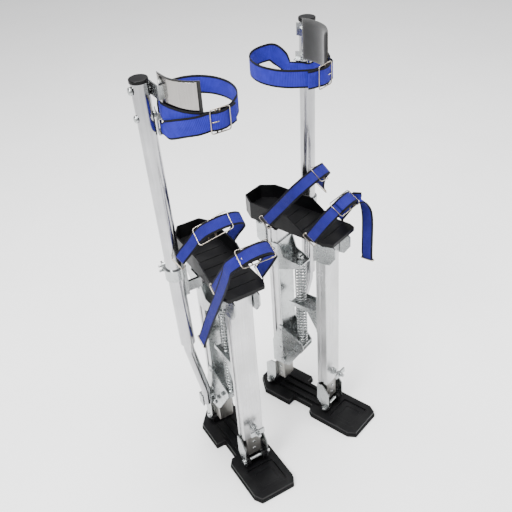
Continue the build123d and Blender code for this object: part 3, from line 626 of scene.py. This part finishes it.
def gather(side, frames):
    """The calf strap's frames, narrowed where it passes through the clip on the tube."""
    clip = to_world(side, *oval_row(17.5, 855, 2)[:3])
    result = []
    for point, along, across, out in frames:
        u = min(max(((point - clip).length - 0.021) / 0.026, 0), 1)
        result.append((point, along, across * (0.61 + 0.39 * u * u * (3 - 2 * u)), out))
    return result


def make_calf_strap(side, materials):
    """The calf strap: the loop round the leg, the run over the plate, and the bright outer run."""
    webbing, steel = materials["blue_webbing"], materials["buckle_steel"]
    body = f"{side}_calf_support"
    loop_rows = [oval_row(20, 855, -0.3), oval_row(30, 854.5, -0.3), oval_row(38, 856, -0.3),
                 oval_row(48, 873, 0), oval_row(60, 887, 0)]
    loop_rows += [oval_row(angle, 888, 0) for angle in range(75, 240, 15)]
    loop_rows += [oval_row(angle, 886, 0) for angle in (245, 258, 271)]
    loop_frames = gather(side, strap_frames(side, loop_rows))
    loop = sweep(f"{side}_calf_webbing", loop_frames, webbing_profile(*CALF_WEBBING), webbing)
    inner_rows = [oval_row(2, 889, -0.6), oval_row(-6, 889, -0.4), oval_row(-20, 889, -0.2),
                  oval_row(-40, 887, -0.2), oval_row(-60, 885, -0.2), oval_row(-80, 884, 0),
                  oval_row(-90, 884, 0.2)]
    inner_frames = strap_frames(side, inner_rows)
    inner = sweep(f"{side}_calf_inner_run", inner_frames, webbing_profile(*CALF_WEBBING), webbing)
    outer_rows = [oval_row(22, 855, -0.3), oval_row(12, 855, 0.0), oval_row(2, 855, 1.4),
                  oval_row(-16, 863, 3.8), oval_row(-36, 873, 4.4), oval_row(-56, 879, 4.0),
                  oval_row(-67, 882, 3.4),
                  oval_row(-76, 884, 2.4), oval_row(-84, 884, 5.0), oval_row(-97, 884, 5.0),
                  oval_row(-106, 884, 2.4), oval_row(-112, 884, 2.8), oval_row(-122, 884, 3.0)]
    outer_frames = gather(side, strap_frames(side, outer_rows))
    outer = sweep(f"{side}_calf_outer_run", outer_frames, webbing_profile(*CALF_WEBBING), webbing)
    for piece in (loop, inner, outer):
        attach(piece, body)
    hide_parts(f"{side}_calf_strap")
    ends = strap_frames(side, [oval_row(angle, 884, 3.0) for angle in (-106, -96, -84, -76)])
    buckle = frame_buckle(f"{side}_calf_frame", ends[0], ends[-1], 0.0222, 0.0012, steel,
                          materials["dark_steel"])
    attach(buckle, body)
    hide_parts(f"{side}_calf_buckle")


def make_calf_pad(side, materials):
    """The foam pad behind the calf plate: crowned inside, rolled over the plate's edges."""
    columns, rows = 40, 22
    start, end, low, high = -69.0, 11.0, 873.5, 956.0
    vertices, faces = [], []
    for face in (0, 1):
        for row in range(rows + 1):
            for column in range(columns + 1):
                u, v = 2 * column / columns - 1, 2 * row / rows - 1
                angle = radians((start + end) / 2 + u * (end - start) / 2)
                edge = max(abs(u) ** 14, abs(v) ** 10)
                fill = (1 - abs(u) ** 10) ** 0.5 * (1 - abs(v) ** 8) ** 0.5
                roll = 1.3 * edge
                depth = -5.6 + roll if face == 0 else -5.6 - 6.4 * fill - 0.6 + roll * 0.6
                z = (low + high) / 2 + v * (high - low) / 2 * (1 - 0.012 * abs(u) ** 6)
                x, y = (OVAL_A + depth) * cos(angle), OVAL_Y + (OVAL_B + depth) * sin(angle)
                vertices.append(to_world(side, x, y, z))
    stride = (rows + 1) * (columns + 1)
    index = lambda face, row, column: face * stride + row * (columns + 1) + column
    for row in range(rows):
        for column in range(columns):
            for face in (0, 1):
                quad = (index(face, row, column), index(face, row, column + 1),
                        index(face, row + 1, column + 1), index(face, row + 1, column))
                faces.append(quad)
    rim = [(0, c) for c in range(columns)] + [(r, columns) for r in range(rows)]
    rim += [(rows, c) for c in range(columns, 0, -1)] + [(r, 0) for r in range(rows, 0, -1)]
    for k, place in enumerate(rim):
        after = rim[(k + 1) % len(rim)]
        faces.append((index(0, *place), index(0, *after), index(1, *after), index(1, *place)))
    mesh = bpy.data.meshes.new(f"{side}_foam_pad")
    mesh.from_pydata(vertices, [], faces)
    work = bmesh.new()
    work.from_mesh(mesh)
    bmesh.ops.recalc_face_normals(work, faces=work.faces)
    work.to_mesh(mesh)
    work.free()
    for polygon in mesh.polygons:
        polygon.use_smooth = True
    mesh.materials.append(materials["black_foam"])
    pad = bpy.data.objects.new(f"{side}_foam_pad", mesh)
    bpy.context.scene.collection.objects.link(pad)
    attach(pad, f"{side}_calf_support")
    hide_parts(f"{side}_calf_pad")


def make_spring(side, name, low, high, turns, materials):
    """A compression spring with closed ends, wound between two fixed heights."""
    radius, wire = 11.4, 1.6
    dead, steps = 1.0, 26
    count = int((turns + 2 * dead) * steps)
    rise = high - low - 2 * wire - 4 * wire * dead
    points = []
    for k in range(count + 1):
        turn = k / steps
        coil = min(max(turn - dead, 0), turns)
        closed_low, closed_high = min(turn, dead), max(turn - dead - turns, 0)
        z = low + wire + 2 * wire * (closed_low + closed_high) + rise * coil / turns
        points.append(to_world(side, radius * cos(2 * pi * turn), radius * sin(2 * pi * turn), z))
    frames = wire_frames(points, Vector((0, 0, 1)), False)
    profile = round_profile(wire / 1000, 8)
    spring = sweep(f"{side}_{name}_coil", frames, profile, materials["spring_steel"])
    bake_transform(spring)
    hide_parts(f"{side}_{name}")


def make_soft_pieces(materials):
    for side in SIDES:
        make_instep(side, materials)
        make_toe(side, materials)
        make_calf_strap(side, materials)
        make_calf_pad(side, materials)
        make_spring(side, "lower_spring", 190.8, 306.4, 12.5, materials)
        make_spring(side, "upper_spring", 315.6, 423.2, 11.5, materials)


# ---------------------------------------------------------------- studio

def make_studio():
    """A pale floor under a soft studio sky, brightest overhead, with a darker band halfway up."""
    bpy.ops.mesh.primitive_plane_add(size=16, location=(0, 0, -0.0005))
    floor = bpy.context.object
    floor.name = "floor"
    n = Nodes("floor")
    n.set(Base_Color=n.ramp(n.noise(n.place(), 3.0), [(0.3, 0.93), (0.7, 0.96)]), Roughness=0.9)
    floor.data.materials.append(n.material)
    world = bpy.data.worlds.new("studio")
    bpy.context.scene.world = world
    world.use_nodes = True
    tree = world.node_tree
    coordinates = tree.nodes.new("ShaderNodeTexCoord")
    split = tree.nodes.new("ShaderNodeSeparateXYZ")
    tree.links.new(coordinates.outputs["Generated"], split.inputs["Vector"])
    ramp = tree.nodes.new("ShaderNodeValToRGB")
    stops = ((0.0, 0.40), (0.47, 0.70), (0.60, 0.80), (0.80, 0.42), (1.0, 1.4))
    while len(ramp.color_ramp.elements) < len(stops):
        ramp.color_ramp.elements.new(0.5)
    for element, (position, grey) in zip(ramp.color_ramp.elements, stops):
        element.position = position
        element.color = (grey, grey, grey * 1.01, 1)
    scale = tree.nodes.new("ShaderNodeMath")
    scale.operation = "MULTIPLY_ADD"
    scale.inputs[1].default_value = 0.5
    scale.inputs[2].default_value = 0.5
    tree.links.new(split.outputs["Z"], scale.inputs[0])
    tree.links.new(scale.outputs["Value"], ramp.inputs["Fac"])
    background = tree.nodes["Background"]
    tree.links.new(ramp.outputs["Color"], background.inputs["Color"])
    background.inputs["Strength"].default_value = 0.9
    for name, place, size, power in (
        ("key", (-1.5, -0.3, 1.9), 0.7, 48),
        ("fill", (1.9, -1.2, 1.2), 0.6, 16),
        ("top", (0.1, 0.2, 3.1), 2.4, 230),
    ):
        data = bpy.data.lights.new(name, "AREA")
        data.size = size
        data.energy = power
        light = bpy.data.objects.new(name, data)
        light.location = place
        direction = Vector((0, 0, 0.4)) - light.location
        light.rotation_euler = direction.to_track_quat("-Z", "Y").to_euler()
        bpy.context.scene.collection.objects.link(light)


make_camera()
materials = make_materials()
paint_nodes(materials)
make_soft_pieces(materials)
make_studio()
